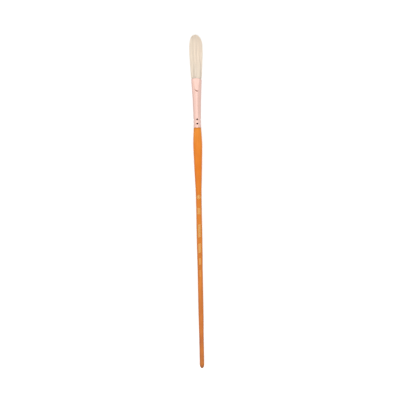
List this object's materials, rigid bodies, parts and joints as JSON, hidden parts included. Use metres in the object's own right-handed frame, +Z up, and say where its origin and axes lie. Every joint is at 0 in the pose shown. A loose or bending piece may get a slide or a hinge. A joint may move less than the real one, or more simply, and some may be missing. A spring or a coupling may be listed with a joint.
{
  "type": "paint brush",
  "caption": "Long-handled filbert paint brush: bristle tuft with a domed tip, pressed copper ferrule, turned and lacquered wooden handle.",
  "frame": {"origin": "centre of the brush's footprint, on the surface that it lies on", "axes": "+Y along the brush towards the tip of the tuft, +Z up, out of the wide side of the tuft that carries the foil marks, +X across the tuft"},
  "size_m": [0.0132, 0.342, 0.0089],
  "materials": {
    "lacquered_wood": "gloss",
    "copper": "polished",
    "hog_bristle": "matte",
    "epoxy": "gloss",
    "wood_glue": "satin",
    "gold_foil": "satin"
  },
  "bodies": {
    "root": {"handle": "lacquered_wood", "ferrule": "copper", "tenon_glue": "wood_glue", "root_plug": "epoxy", "bristles_core": "hog_bristle", "bristles_front": "hog_bristle", "bristles_back": "hog_bristle", "foil_lozenge": "gold_foil", "foil_short_bar": "gold_foil", "foil_long_bar": "gold_foil", "foil_middle_bar": "gold_foil", "foil_thin_bar_upper": "gold_foil", "foil_thin_bar_lower": "gold_foil"}
  },
  "joints": []
}
